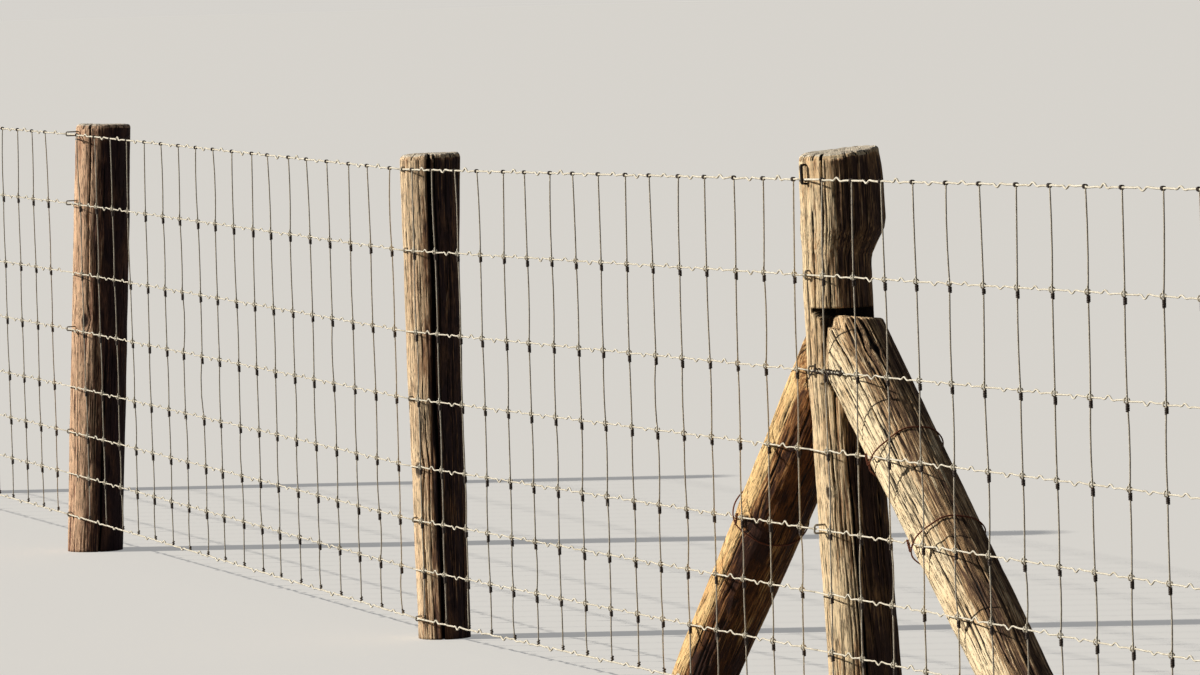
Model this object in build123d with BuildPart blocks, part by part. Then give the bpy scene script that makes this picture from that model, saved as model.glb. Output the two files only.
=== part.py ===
from build123d import *

import os
from dataclasses import dataclass
from math import asin, ceil, cos, degrees, radians, sin, tan

os.makedirs("parts", exist_ok=True)

# A stock fence of woven wire netting on round timber posts, in millimetres.
# X runs along the fence, Y away from the netting side, Z up from the ground.
# The origin is the centre of the strainer post's foot.

# Bays, from the left end of the fence to the right
bay_1 = 2420
bay_2 = 2865
bay_3 = 2395
bay_4 = 2420

# Netting: eight line wires that stand closer together towards the ground
line_gaps = (180, 180, 150, 150, 120, 110, 110)
edge_wire = 3.7  # top and bottom line wires
line_wire = 3.0  # the line wires between them
stay_wire = 3.0
stay_pitch = 150
first_stay = 70  # from the strainer post's foot to the first stay on its right
netting_tail = 28  # the line wires run past the end posts' staples by this much
seat_gap = 0.3  # between the netting and the nearest post face

# Staples that hold the line wires
staple_wire = 4.0
staple_inside = 12  # between the legs, across the line wire
staple_leg = 40
staple_play = 0.3  # between crown and line wire
leg_fit = 0.1  # between a leg and the wood around it
leg_end = 0.5  # beyond the tip of a leg

# Posts
dressed_width = 10  # of the narrow flat down each post, dressed for the staples
dressed_turn = 12  # degrees from the post's foremost line round to the flat
rim_height = 11  # of the worn edge round each top
rim_width = 8

# Strainer post: foot, shaft, waist and swollen head
strainer_gap = 62  # under the netting's bottom wire
strainer_above = 53  # over its top wire
strainer_lean = -32  # along the fence, at the top
strainer_foot_radius = 71
strainer_middle_radius = 67
strainer_shaft_radius = 66.5
strainer_head_radius = 78
strainer_top_radius = 76
strainer_foot_back = 26  # the post's face stands this far behind the fence's face at the foot
strainer_middle_back = 8
strainer_waist_back = 3
strainer_top_back = 1
strainer_middle = 560  # height of its middle station
waist_drop = 197  # from the top to where the shaft begins
swell_drop = 149  # from the top to where the head has its full size

# Line posts, with their radii and backs at the foot, at a middle station and at the top
second_gap = 47
second_above = 34
second_lean = -10
second_middle = 560
second_radii = (58.5, 62, 64)
second_backs = (7, 1, 0)
third_gap = 100
third_above = 23
third_lean = 115
third_middle = 520
third_radii = (74, 74, 73)
third_backs = (0, 12, 27)
left_end_gap = 135
left_end_above = 28
left_end_lean = 12
left_end_middle = 600
left_end_radii = (66, 68, 67)
left_end_backs = (4, 1, 0)
right_end_gap = 78
right_end_above = 31
right_end_lean = -9
right_end_middle = 520
right_end_radii = (68, 69, 66)
right_end_backs = (5, 2, 0)

# Struts: round logs in the line of the fence, let into notches in the strainer post
notch_drop = 296  # from the post's top to the saw cut above both struts
notch_core = 29  # from the post's axis to the upright face of a notch
strut_head_gap = 16  # between the shoulder and the sawn top of a strut's head
strut_head_slope = 6  # of the sawn top, falling away from the netting
strut_hewn_width = 30  # hewn off the head's netting side, at its top against the post
strut_hewn_run = 85  # along the fence until the hewn face runs out of the log
strut_hewn_height = 300  # down the head until it would run out
strut_fit = 0.4  # between a strut's underside and the slope of its notch
strut_back = 2  # a strut stands this far behind the netting
strut_fullness = 0.5  # a strut is this much thicker between its ends than a straight taper
strut_crook = 3  # its foot lies this much nearer the netting than its head does
right_strut_angle = 38
right_strut_drop = 55  # from the saw cut to the strut's axis, at the upright face of the notch
right_strut_head_radius = 72
right_strut_foot_radius = 60.5
left_strut_angle = 41.8
left_strut_drop = 92
left_strut_head_radius = 76
left_strut_foot_radius = 63

# Tie wires that bind line wires to the struts
tie_wire = 3.0
tie_play = 0.3
tie_sides = 16

cut_over = 20  # how far a cutting shape reaches out of the wood


wire_drops = [sum(line_gaps[:k]) for k in range(len(line_gaps) + 1)]
netting_height = wire_drops[-1]
face_y = -(strainer_foot_radius + strainer_foot_back)
netting_back_y = face_y - seat_gap
netting_front_y = netting_back_y - line_wire
leg_offset = (staple_inside + staple_wire) / 2  # of a staple's legs, above and below the line wire


@dataclass
class Station:
    """One cross-section of a post."""

    z: float
    radius: float
    back: float  # the post's face stands this far behind the fence's face


@dataclass
class Check:
    """A drying crack that runs along a log from one of its stations to another, open at the surface."""

    angle: float  # around the log, from its reference direction
    mouth: float
    depth: float
    first: int  # 0 is a post's foot or a strut's head
    last: int


@dataclass
class Post:
    name: str
    x: float  # centre of the foot
    lean: float  # how far the head stands further along the fence than the foot
    ground_gap: float  # under the netting's bottom wire
    above_wire: float  # from the top wire to the post's top
    heights: tuple  # of the stations below the top, from the foot up
    radii: tuple  # at the stations and at the top
    backs: tuple  # how far the face stands behind the fence's face there
    top_slope: float  # of the worn top, in degrees, rising away from the netting
    checks: list
    stapled: tuple = (1, 2, 4, 6, 8)  # the line wires held by a staple, counted from the top

    @property
    def height(self):
        return self.ground_gap + netting_height + self.above_wire

    @property
    def stations(self):
        heights = (*self.heights, self.height)
        return [Station(*values) for values in zip(heights, self.radii, self.backs)]

    def at(self, z):
        """Centre and radius of the log at a height."""
        stations = self.stations
        spans = zip(stations, stations[1:])
        low, high = next((s for s in spans if z <= s[1].z), stations[-2:])
        share = (z - low.z) / (high.z - low.z)
        radius = low.radius + share * (high.radius - low.radius)
        back = low.back + share * (high.back - low.back)
        x = self.x + self.lean * z / self.height
        return x, face_y + back + radius, radius

    def wire(self, number):
        """Where line wire number crosses the post's face, as x and z."""
        z = self.ground_gap + netting_height - wire_drops[number - 1]
        return self.at(z)[0], z


@dataclass
class Strut:
    name: str
    side: int  # 1 to the right of the strainer post, -1 to its left
    angle: float  # below level
    head_height: float
    head_radius: float
    foot_radius: float
    checks: list
    tied: tuple  # the line wires tied to it, counted from the top

    @property
    def notch_x(self):
        """The upright face of the notch."""
        return strainer.at(self.head_height)[0] + self.side * notch_core

    @property
    def y(self):
        return face_y + strut_back + self.head_radius

    @property
    def length(self):
        return self.head_height / sin(radians(self.angle))

    @property
    def stations(self):
        """Distances down the strut: before and after its hewn head, then before and after the ground."""
        a = radians(self.angle)
        head = self.head_radius * tan(a) + cut_over
        hewn = strut_hewn_run / cos(a) + cut_over
        foot = self.foot_radius / tan(a) + cut_over
        return [-head, hewn, self.length - foot, self.length + foot]

    def point(self, t):
        """The axis at a distance t from the notch face, down the strut."""
        a = radians(self.angle)
        _, upper, lower, _ = self.stations
        crook = strut_crook * min(1, max(0, (t - upper) / (lower - upper)))
        x = self.notch_x + self.side * t * cos(a)
        return Vector(x, self.y - crook, self.head_height - t * sin(a))

    def radius(self, t):
        _, upper, lower, _ = self.stations
        straight = self.head_radius + (self.foot_radius - self.head_radius) * t / self.length
        return straight + strut_fullness * min(1, t / upper, (self.length - t) / (self.length - lower))

    def section(self, t):
        """Plane square to the axis, its x direction along +Y."""
        a = radians(self.angle)
        return Plane(self.point(t), x_dir=(0, 1, 0), z_dir=(self.side * cos(a), 0, -sin(a)))


strainer_height = strainer_gap + netting_height + strainer_above
strainer = Post(
    "strainer_post",
    x=0,
    lean=strainer_lean,
    ground_gap=strainer_gap,
    above_wire=strainer_above,
    heights=(0, strainer_middle, strainer_height - waist_drop, strainer_height - swell_drop),
    radii=(
        strainer_foot_radius,
        strainer_middle_radius,
        strainer_shaft_radius,
        strainer_head_radius,
        strainer_top_radius,
    ),
    backs=(strainer_foot_back, strainer_middle_back, strainer_waist_back, 0, strainer_top_back),
    top_slope=6,
    checks=[Check(-22, 7, 20, 0, 1), Check(-48, 5, 16, 2, 4), Check(30, 6, 18, 0, 1)],
    stapled=(1, 2, 3, 5, 8),
)
second = Post(
    "second_post",
    x=strainer.x - bay_3,
    lean=second_lean,
    ground_gap=second_gap,
    above_wire=second_above,
    heights=(0, second_middle),
    radii=second_radii,
    backs=second_backs,
    top_slope=1,
    checks=[Check(-20, 12, 30, 0, 2), Check(-60, 5, 14, 0, 1)],
)
third = Post(
    "third_post",
    x=second.x - bay_2,
    lean=third_lean,
    ground_gap=third_gap,
    above_wire=third_above,
    heights=(0, third_middle),
    radii=third_radii,
    backs=third_backs,
    top_slope=-3,
    checks=[Check(-5, 8, 22, 0, 1)],
)
left_end = Post(
    "left_end_post",
    x=third.x - bay_1,
    lean=left_end_lean,
    ground_gap=left_end_gap,
    above_wire=left_end_above,
    heights=(0, left_end_middle),
    radii=left_end_radii,
    backs=left_end_backs,
    top_slope=2,
    checks=[Check(-30, 8, 22, 1, 2)],
)
right_end = Post(
    "right_end_post",
    x=strainer.x + bay_4,
    lean=right_end_lean,
    ground_gap=right_end_gap,
    above_wire=right_end_above,
    heights=(0, right_end_middle),
    radii=right_end_radii,
    backs=right_end_backs,
    top_slope=3,
    checks=[Check(-70, 7, 20, 0, 1)],
)
posts = [left_end, third, second, strainer, right_end]

notch_shoulder = strainer_height - notch_drop
right_strut = Strut(
    "right_strut",
    side=1,
    angle=right_strut_angle,
    head_height=notch_shoulder - right_strut_drop,
    head_radius=right_strut_head_radius,
    foot_radius=right_strut_foot_radius,
    checks=[Check(128, 6, 22, 0, 1), Check(0, 8, 22, 1, 2)],
    tied=(4, 5),
)
left_strut = Strut(
    "left_strut",
    side=-1,
    angle=left_strut_angle,
    head_height=notch_shoulder - left_strut_drop,
    head_radius=left_strut_head_radius,
    foot_radius=left_strut_foot_radius,
    checks=[Check(0, 8, 20, 1, 2)],
    tied=(5,),
)
struts = [right_strut, left_strut]


def save(piece, name):
    piece.part.label = name
    export_step(piece.part, f"parts/{name}.step")
    print(name, round(piece.part.volume), "mm3")


def log_section(radius):
    """The outline of a post: round, with the narrow flat that takes the staples."""
    half_angle = degrees(asin(dressed_width / 2 / radius))
    with BuildSketch() as outline:
        with BuildLine():
            start = dressed_turn - 90 + half_angle
            bark = CenterArc((0, 0), radius, start, 360 - 2 * half_angle)
            Line(bark @ 1, bark @ 0)
        make_face()
    return outline.sketch


def groove(section, radius, check):
    """The wedge that opens a drying check in a log of this radius, in its section plane."""
    half_width = check.mouth / 2 * (check.depth + cut_over) / check.depth
    with BuildSketch(section.rotated((0, 0, check.angle))) as wedge:
        with BuildLine():
            Polyline(
                (radius - check.depth, 0),
                (radius + cut_over, -half_width),
                (radius + cut_over, half_width),
                close=True,
            )
        make_face()
    return wedge.sketch


def top_plane(post):
    """The sloping plane of the post's worn top."""
    x, y, _ = post.at(post.height)
    slope = radians(post.top_slope)
    return Plane((x, y, post.height), x_dir=(1, 0, 0), z_dir=(0, -sin(slope), cos(slope)))


def post_log(post):
    """The round log of a post: lofted through its stations, with a worn rim and its drying checks."""
    with BuildPart() as log:
        for z in post.heights:
            x, y, radius = post.at(z)
            with BuildSketch(Plane((x, y, z))):
                add(log_section(radius))
        top_radius = post.radii[-1]
        with BuildSketch(top_plane(post).offset(-rim_height)):
            add(log_section(top_radius))
        with BuildSketch(top_plane(post)):
            add(log_section(top_radius - rim_width))
        loft(ruled=True)
        for check in post.checks:
            start, end = post.stations[check.first].z, post.stations[check.last].z
            if end == post.height:
                end += cut_over
            x, y, radius = post.at(start)
            end_x, end_y, _ = post.at(end)
            run = Vector(end_x - x, end_y - y, end - start)
            wedge = groove(Plane((x, y, start)), radius, check)
            extrude(wedge, amount=run.length, dir=run, mode=Mode.SUBTRACT)
    return log.part


def crown(post, number):
    """The middle of a staple's crown, as x, y and z, clear of the line wire behind it."""
    x, z = post.wire(number)
    x += post.at(z)[2] * sin(radians(dressed_turn))
    return x, netting_front_y - staple_play - staple_wire / 2, z


def staple_pockets(post):
    """The slots that the legs of a post's staples have cut into the wood."""
    width = staple_wire + 2 * leg_fit
    with BuildPart() as pockets:
        for number in post.stapled:
            x, y, z = crown(post, number)
            tip = y - staple_wire / 2 + staple_leg + leg_end
            with BuildSketch(Plane.XZ.offset(-tip)):
                with Locations((x, z - leg_offset), (x, z + leg_offset)):
                    Rectangle(width, width)
            extrude(amount=staple_leg)
    return pockets.part


def notch(strut):
    """What the notch for a strut takes out of the strainer post."""
    a = radians(strut.angle)
    reach = strainer_head_radius + cut_over
    outer_x = strut.notch_x + strut.side * reach
    seat = strut.head_height - (strut.head_radius + strut_fit) / cos(a)
    with BuildPart() as cut:
        with BuildSketch(Plane.XZ):
            with BuildLine():
                Polyline(
                    (strut.notch_x, notch_shoulder),
                    (outer_x, notch_shoulder),
                    (outer_x, seat - reach * tan(a)),
                    (strut.notch_x, seat),
                    close=True,
                )
            make_face()
        extrude(amount=reach - face_y, both=True)
    return cut.part


def strut_log(strut):
    """A strut: a tapered log, sawn to the notch at its head and to the ground at its foot."""
    top = notch_shoulder - strut_head_gap
    slope = radians(strut_head_slope)
    corner_y = strut.y - strut.head_radius + strut_hewn_width
    with BuildPart() as log:
        for t in strut.stations:
            with BuildSketch(strut.section(t)):
                Circle(strut.radius(t))
        loft(ruled=True)
        for check in strut.checks:
            start, end = strut.stations[check.first], strut.stations[check.last]
            wedge = groove(strut.section(start), strut.radius(start), check)
            extrude(wedge, amount=end - start, mode=Mode.SUBTRACT)
        split(bisect_by=Plane.XY, keep=Keep.TOP)
        split(bisect_by=Plane((strut.notch_x, 0, 0), z_dir=(strut.side, 0, 0)), keep=Keep.TOP)
        sawn_top = Plane((strut.notch_x, strut.y, top), z_dir=(0, sin(slope), cos(slope)))
        split(bisect_by=sawn_top, keep=Keep.BOTTOM)
        hewn = Plane(
            (strut.notch_x, corner_y, top),
            z_dir=(-strut.side * strut_hewn_width / strut_hewn_run, -1, strut_hewn_width / strut_hewn_height),
        )
        split(bisect_by=hewn, keep=Keep.BOTTOM)
    return log.part


def between(start, end, x):
    """Height at x on the line from one x and z to another."""
    return start[1] + (end[1] - start[1]) * (x - start[0]) / (end[0] - start[0])


def line_ends(left, right, number):
    """The two ends of a line wire in the bay between two posts, run past an end post's staple."""
    start, end = left.wire(number), right.wire(number)
    if left is posts[0]:
        x = start[0] - netting_tail
        start = (x, between(start, end, x))
    if right is posts[-1]:
        x = end[0] + netting_tail
        end = (x, between(start, end, x))
    return start, end


def stays_between(low, high):
    """The places of the stays between two values of x."""
    first = ceil((low - first_stay) / stay_pitch)
    last = ceil((high - first_stay) / stay_pitch)
    return [first_stay + stay_pitch * k for k in range(first, last)]


def netting(left, right):
    """One bay of netting: line wires and stays, fused where they cross."""
    lines = [line_ends(left, right, k + 1) for k in range(len(wire_drops))]
    low = max(start[0] for start, _ in lines) + stay_wire
    high = min(end[0] for _, end in lines) - stay_wire
    with BuildPart() as bay:
        with BuildSketch(Plane.XZ.offset(-netting_back_y)):
            strips = []
            for start, end in lines:
                half = (edge_wire if (start, end) in (lines[0], lines[-1]) else line_wire) / 2
                strips.append(
                    Polygon(
                        (start[0], start[1] - half),
                        (end[0], end[1] - half),
                        (end[0], end[1] + half),
                        (start[0], start[1] + half),
                        align=None,
                        mode=Mode.PRIVATE,
                    )
                )
            for x in stays_between(low, high):
                bottom = between(*lines[-1], x)
                top = between(*lines[0], x)
                with Locations((x, (bottom + top) / 2)):
                    strips.append(Rectangle(stay_wire, top - bottom, mode=Mode.PRIVATE))
            add(strips)
        extrude(amount=line_wire)
    return bay.part


def staples(post):
    """The staples of one post, each a bent wire over its line wire."""
    with BuildPart() as row:
        for number in post.stapled:
            x, y, z = crown(post, number)
            with BuildSketch(Plane.YZ.offset(x)):
                with Locations((y - staple_wire / 2 + staple_leg / 2, z)):
                    Rectangle(staple_leg, staple_inside + 2 * staple_wire)
                with Locations((y + staple_wire / 2 + staple_leg / 2, z)):
                    Rectangle(staple_leg, staple_inside, mode=Mode.SUBTRACT)
            extrude(amount=staple_wire / 2, both=True)
    return row.part


def tie_place(strut, number):
    """How far down a strut line wire number crosses its axis."""
    left, right = (strainer, right_end) if strut.side > 0 else (second, strainer)
    start, end = line_ends(left, right, number)
    slope = (end[1] - start[1]) / (end[0] - start[0])
    fall = tan(radians(strut.angle)) + strut.side * slope
    run = (strut.head_height - between(start, end, strut.notch_x)) / fall
    return run / cos(radians(strut.angle))


def tie(strut, number):
    """A tie wire: one loop round the strut and the line wire in front of it."""
    t = tie_place(strut, number)
    front = strut.point(t).Y - netting_front_y + tie_play
    back = strut.radius(t) + tie_play
    inner = (front + back) / 2
    with BuildPart() as loop:
        with BuildSketch(strut.section(t)):
            with Locations(((back - front) / 2, 0)):
                flat_first = 180 / tie_sides
                RegularPolygon(inner + tie_wire, tie_sides, major_radius=False, rotation=flat_first)
                RegularPolygon(
                    inner, tie_sides, major_radius=False, rotation=flat_first, mode=Mode.SUBTRACT
                )
        extrude(amount=tie_wire / 2, both=True)
    return loop.part


# Posts, with the slots for their staples and the strainer post's two notches
for post in posts:
    with BuildPart() as timber:
        add(post_log(post))
        add(staple_pockets(post), mode=Mode.SUBTRACT)
        if post is strainer:
            for strut in struts:
                add(notch(strut), mode=Mode.SUBTRACT)
    save(timber, post.name)

# Struts
for strut in struts:
    with BuildPart() as timber:
        add(strut_log(strut))
    save(timber, strut.name)

# Netting, one panel a bay
for number, (left, right) in enumerate(zip(posts, posts[1:]), 1):
    with BuildPart() as panel:
        add(netting(left, right))
    save(panel, f"netting_bay_{number}")

# Staples, the ones of a post together
for post in posts:
    with BuildPart() as fixings:
        add(staples(post))
    save(fixings, post.name.replace("post", "staples"))

# Tie wires
for strut in struts:
    with BuildPart() as wires:
        for number in strut.tied:
            add(tie(strut, number))
    save(wires, f"{strut.name}_ties")
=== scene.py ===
from dataclasses import dataclass
from math import ceil, cos, pi, radians, sin, tan

import bpy
import numpy as np
from mathutils import Matrix


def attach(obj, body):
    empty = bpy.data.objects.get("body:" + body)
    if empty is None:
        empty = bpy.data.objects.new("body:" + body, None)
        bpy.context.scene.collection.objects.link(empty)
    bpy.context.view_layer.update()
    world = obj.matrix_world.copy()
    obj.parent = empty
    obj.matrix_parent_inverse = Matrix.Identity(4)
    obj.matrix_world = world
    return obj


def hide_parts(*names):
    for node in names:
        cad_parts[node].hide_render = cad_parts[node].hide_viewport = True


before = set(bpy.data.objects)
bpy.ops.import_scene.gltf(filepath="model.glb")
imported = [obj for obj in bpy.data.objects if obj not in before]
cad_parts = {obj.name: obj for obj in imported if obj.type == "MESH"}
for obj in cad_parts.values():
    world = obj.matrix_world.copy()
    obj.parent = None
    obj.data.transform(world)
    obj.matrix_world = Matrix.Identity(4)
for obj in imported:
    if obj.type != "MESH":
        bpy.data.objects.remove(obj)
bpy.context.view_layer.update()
scene = bpy.context.scene

# A stock fence of woven wire netting on weathered round posts.
# Lengths are in millimetres, and to_metres scales every mesh. Angles round a log are in degrees
# from the fence's direction, or from the upper side of a strut, and -90 is towards the netting.
to_metres = 0.001
along_fence = np.array((1.0, 0.0, 0.0))
backwards = np.array((0.0, 1.0, 0.0))
upwards = np.array((0.0, 0.0, 1.0))

# Driving dimensions: the frame's own, but for the line wires, which are 0.2 mm thicker here
bay_1 = 2420
bay_2 = 2865
bay_3 = 2395
bay_4 = 2420
line_gaps = (180, 180, 150, 150, 120, 110, 110)
edge_wire = 3.9
line_wire = 3.2
stay_wire = 3.0
stay_pitch = 150
first_stay = 70
netting_tail = 28
netting_y = -98.8  # middle of the wires
face_y = -97.0  # foremost face of the posts
dressed_turn = 12  # degrees from the foremost line round to the staples
rim_height = 11
rim_width = 8
notch_shoulder = 819
notch_core = 29
strut_head_gap = 16
strut_head_slope = 6
strut_hewn_width = 30
strut_hewn_run = 85
strut_hewn_height = 300
strut_crook = 3
strut_fullness = 0.5
strut_back = 2  # behind the posts' foremost face
strut_fit = 0.4  # between a strut and the slope of its notch
head_rim = 5
head_chip = 12  # worn off a strut head's corner by the notch
head_chip_fall = 0.5
head_chip_end = 40  # along the log from its sawn top
worn_level = 0.5  # how much of its slope the lower side of a post's top has kept
corner_wear = 5  # of a post's top on the netting side
# Front edge of the right notch: split back at its top, and left standing lower down
lip_drops = (0, 6, 14, 21, 40, 64)
lips = (-18, -18, -7, 2.5, 7, 16)
lip_end = -40  # degrees round the post
lip_fade = 7
least_toward = 0.02  # a notch is cut where the cosine towards its strut is larger

wire_drops = [sum(line_gaps[:k]) for k in range(len(line_gaps) + 1)]
netting_height = wire_drops[-1]


@dataclass
class Check:
    """A wide drying crack along a log."""

    angle: float
    mouth: float
    depth: float
    start: float
    end: float


@dataclass
class Knot:
    """A knot in a log's side."""

    angle: float
    place: float  # along the log
    radius: float


@dataclass
class Swelling:
    """One side of a log that is fuller or leaner than its round section."""

    angle: float
    heights: tuple
    amounts: tuple


@dataclass(kw_only=True)
class Log:
    """What every log has, most of it for its weathering and for its painted light and shade."""

    name: str
    seed: int
    columns: int
    rows: int
    cracks: int
    paleness: float = 0.0
    painted_light_angle: float = -108  # angle of its painted light, where it is painted paler as if sunlit
    painted_shade_angle: float = 18  # angle of its painted shade, where it is painted darker on the side away from the sun
    checks: tuple = ()
    knots: tuple = ()
    swellings: tuple = ()


@dataclass(kw_only=True)
class Post(Log):
    """A round post, with radii and setbacks at its foot, at stations up its height and at its top."""

    x: float
    lean: float
    ground_gap: float
    above_wire: float
    heights: tuple
    radii: tuple
    backs: tuple
    top_slope: float
    stapled: tuple = (1, 2, 4, 6, 8)
    across = along_fence
    run = upwards

    def __post_init__(self):
        self.height = self.ground_gap + netting_height + self.above_wire
        self.stations = (*self.heights, self.height)

    def radius(self, z):
        return np.interp(z, self.stations, self.radii)

    def centre(self, z):
        back = np.interp(z, self.stations, self.backs)
        return joined(self.x + self.lean * z / self.height, face_y + back + self.radius(z), z)

    def wire(self, number):
        """Where line wire number crosses the post's face, as x and z."""
        z = self.ground_gap + netting_height - wire_drops[number - 1]
        return self.x + self.lean * z / self.height, z

    def start(self, theta, rho):
        return 0 * theta * rho

    def end(self, theta, rho):
        """Where its top is: sloped, levelled on its lower side and worn towards the netting."""
        rise = tan(radians(self.top_slope)) * rho * np.sin(theta)
        near_edge = clamp(rho / self.radii[-1] * 3.3 - 2.3)
        wear = corner_wear * near_edge**2 * clamp(-np.sin(theta))
        return self.height + rise * np.where(rise < 0, worn_level, 1) - wear


@dataclass(kw_only=True)
class Strut(Log):
    """A log that slants down from its notch in the strainer post to the ground."""

    side: int  # 1 to the right of the strainer post, -1 to its left
    angle: float  # below level
    drop: float  # from the notch's shoulder to its axis
    head_radius: float
    foot_radius: float

    def __post_init__(self):
        a = self.slant = radians(self.angle)
        self.head_height = notch_shoulder - self.drop
        self.height = self.head_height / sin(a)
        self.notch_x = strainer.lean * self.head_height / strainer.height + self.side * notch_core
        self.y = face_y + strut_back + self.head_radius
        self.across = np.array((self.side * sin(a), 0, cos(a)))
        self.run = np.array((self.side * cos(a), 0, -sin(a)))

    def radius(self, t):
        share = t / self.height
        full = strut_fullness * clamp(np.minimum(share, 1 - share) * 12)
        return self.head_radius + (self.foot_radius - self.head_radius) * share + full

    def centre(self, t):
        crook = strut_crook * clamp((t / self.height - 0.06) / 0.84)
        x = self.notch_x + self.side * t * cos(self.slant)
        return joined(x, self.y - crook, self.head_height - t * sin(self.slant))

    def start(self, theta, rho):
        """Where the log begins: cut to the notch, sawn on top and hewn on the netting side."""
        a = self.slant
        over = self.head_height - notch_shoulder + strut_head_gap + rho * np.cos(theta) * cos(a)
        to_notch = -rho * np.cos(theta) * tan(a)
        sawn = (over + tan(radians(strut_head_slope)) * rho * np.sin(theta)) / sin(a)
        beyond = rho * np.sin(theta) + self.head_radius - strut_hewn_width
        along, down = strut_hewn_width / strut_hewn_run, strut_hewn_width / strut_hewn_height
        lean_in = along * cos(a) + down * sin(a)
        hewn = (down * over - along * rho * np.cos(theta) * sin(a) - beyond) / lean_in
        chipped = (head_chip_fall * over - beyond + head_chip) / (head_chip_fall * sin(a))
        chipped = np.minimum(chipped, sawn + head_chip_end)
        return np.maximum.reduce((to_notch, sawn, hewn, chipped))

    def end(self, theta, rho):
        """Where it meets the ground."""
        return (self.head_height + rho * np.cos(theta) * cos(self.slant)) / sin(self.slant)


strainer = Post(
    name="strainer_post", seed=11, columns=288, rows=236, cracks=460,
    x=0, lean=-32, ground_gap=62, above_wire=53, top_slope=6,
    heights=(0, 560, 918, 966), radii=(71, 67, 66.5, 78, 76), backs=(26, 8, 3, 0, 1),
    stapled=(1, 2, 3, 5, 8), paleness=0.1, painted_light_angle=-96, painted_shade_angle=36,
    checks=(
        Check(-22, 7, 20, 0, 560), Check(-48, 5, 16, 918, 1115), Check(30, 6, 18, 0, 560),
        Check(-84, 4.5, 10, 640, 1040), Check(-66, 4, 8, 700, 1000), Check(-38, 5, 10, 560, 900),
        Check(-128, 4, 9, 860, 1040),
    ),
    knots=(Knot(-62, 470, 9), Knot(150, 420, 14), Knot(60, 900, 11)),
    swellings=(
        Swelling(
            70, (600, 800, 850, 900, 940, 965, 985, 1050, 1085, 1115),
            (0, -4.5, -4.5, -3, 0, 4, 8, 7.5, 5, 1),
        ),
        Swelling(-115, (600, 700, 880, 960, 1000), (0, 4, 4, 1.5, 0)),
    ),
)
second = Post(
    name="second_post", seed=23, columns=256, rows=196, cracks=300,
    x=strainer.x - bay_3, lean=-10, ground_gap=47, above_wire=34, top_slope=1,
    heights=(0, 560), radii=(58.5, 62, 64), backs=(7, 1, 0), paleness=0.3, painted_light_angle=-102, painted_shade_angle=26,
    checks=(Check(-20, 12, 30, 0, 1100), Check(-60, 5, 14, 0, 560), Check(-8, 5, 10, 500, 1100)),
    knots=(Knot(-70, 380, 12), Knot(120, 700, 13)),
    swellings=(Swelling(71, (850, 965, 1020, 1065, 1081), (0, 4, 6.5, 8.5, 8.5)),),
)
third = Post(
    name="third_post", seed=37, columns=232, rows=172, cracks=260,
    x=second.x - bay_2, lean=115, ground_gap=100, above_wire=23, top_slope=-3,
    heights=(0, 520), radii=(74, 74, 73), backs=(0, 12, 27), paleness=-0.12, painted_light_angle=-90, painted_shade_angle=43,
    checks=(Check(-5, 8, 22, 0, 520), Check(-45, 5, 12, 560, 1100)),
    knots=(Knot(-50, 610, 13), Knot(170, 500, 12)),
)
left_end = Post(
    name="left_end_post", seed=41, columns=168, rows=120, cracks=200,
    x=third.x - bay_1, lean=12, ground_gap=135, above_wire=28, top_slope=2,
    heights=(0, 600), radii=(66, 68, 67), backs=(4, 1, 0),
    checks=(Check(-30, 8, 22, 600, 1200),),
    knots=(Knot(-80, 460, 12), Knot(95, 820, 12)),
)
right_end = Post(
    name="right_end_post", seed=53, columns=168, rows=120, cracks=200,
    x=strainer.x + bay_4, lean=-9, ground_gap=78, above_wire=31, top_slope=3,
    heights=(0, 520), radii=(68, 69, 66), backs=(5, 2, 0),
    checks=(Check(-70, 7, 20, 0, 520), Check(10, 5, 14, 500, 1100)),
    knots=(Knot(-30, 700, 13), Knot(140, 300, 12)),
)
posts = [left_end, third, second, strainer, right_end]

right_strut = Strut(
    name="right_strut", seed=61, columns=240, rows=208, cracks=440,
    side=1, angle=38, drop=55, head_radius=72, foot_radius=60.5, paleness=0.66,
    checks=(
        Check(-16, 6, 16, -60, 150), Check(-6, 6, 14, -60, 120), Check(6, 6, 14, -60, 170),
        Check(-50, 4, 12, 30, 460), Check(90, 8, 22, 80, 1100), Check(-75, 3.5, 8, 120, 620),
    ),
    knots=(Knot(-4, 118, 8), Knot(140, 700, 12), Knot(-100, 560, 10)),
)
left_strut = Strut(
    name="left_strut", seed=71, columns=208, rows=176, cracks=400,
    side=-1, angle=41.8, drop=92, head_radius=76, foot_radius=63,
    paleness=0.45, painted_light_angle=-50, painted_shade_angle=194,
    checks=(Check(90, 8, 20, 80, 1000), Check(-60, 5, 14, 60, 700)),
    knots=(Knot(-110, 480, 13), Knot(100, 300, 12)),
)
struts = [right_strut, left_strut]


def smooth_noise(rng, place_along, place_round):
    """Random values from -1 to 1 in cells. Both places count cells, and a whole turn is a whole number."""
    turn = int(round(place_round.max() + place_round.ravel()[1] - place_round.ravel()[0]))
    first = int(np.floor(place_along.min()))
    count = ceil(place_along.max()) - first + 2
    lattice = rng.uniform(-1, 1, (count, turn))
    i, j = np.floor(place_along).astype(int), np.floor(place_round).astype(int)
    u, v = place_along - i, place_round - j
    u, v = u * u * (3 - 2 * u), v * v * (3 - 2 * v)
    i, j, k = i - first, j % turn, (j + 1) % turn
    low = lattice[i, j] * (1 - v) + lattice[i, k] * v
    high = lattice[i + 1, j] * (1 - v) + lattice[i + 1, k] * v
    return low * (1 - u) + high * u


def clamp(value):
    return np.clip(value, 0, 1)


def joined(*parts):
    """Arrays and numbers side by side, along a new last axis."""
    return np.stack(np.broadcast_arrays(*parts), axis=-1)


def unit(vectors):
    return vectors / np.linalg.norm(vectors, axis=-1, keepdims=True)


def wrapped(distance, turn):
    return (distance + turn / 2) % turn - turn / 2


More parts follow.
